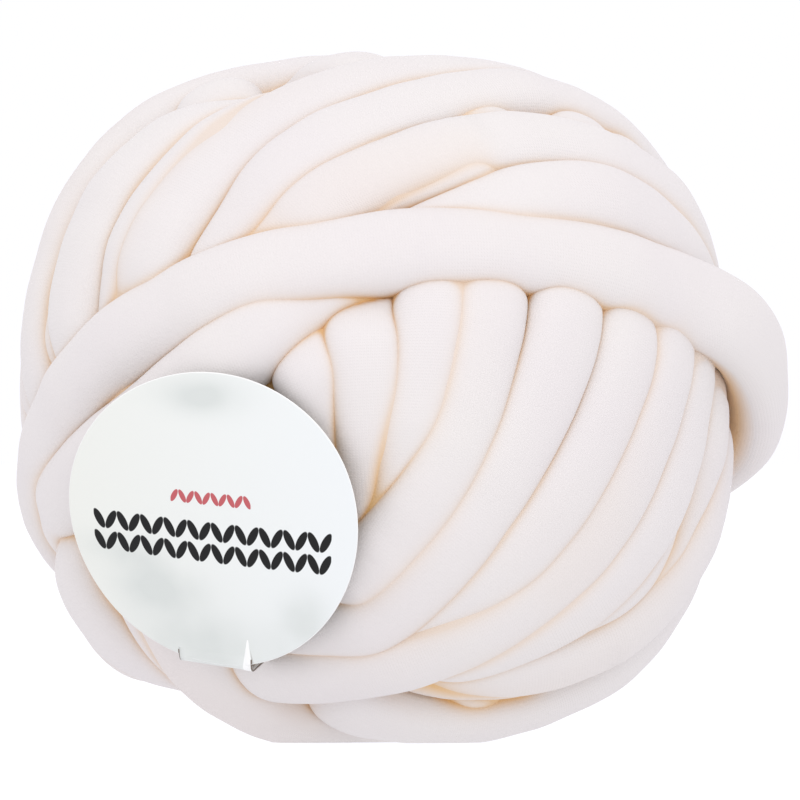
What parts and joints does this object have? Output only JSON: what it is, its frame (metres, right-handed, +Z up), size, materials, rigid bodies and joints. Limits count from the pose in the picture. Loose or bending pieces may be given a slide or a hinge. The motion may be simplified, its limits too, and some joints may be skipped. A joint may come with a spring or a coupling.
{
  "type": "yarn ball",
  "caption": "Ball of thick cream tube yarn, wound in broad soft strands, with a round glossy card label tucked in at the front.",
  "frame": {"origin": "on the floor, under the middle of the ball's box", "axes": "+Z up, the label side faces -Y, +X to the right as seen from the label side"},
  "size_m": [0.2821, 0.2575, 0.2522],
  "materials": {
    "yarn": "matte",
    "label_card": "gloss"
  },
  "bodies": {
    "root": {"yarn_ball": "yarn", "label": "label_card"}
  },
  "joints": []
}
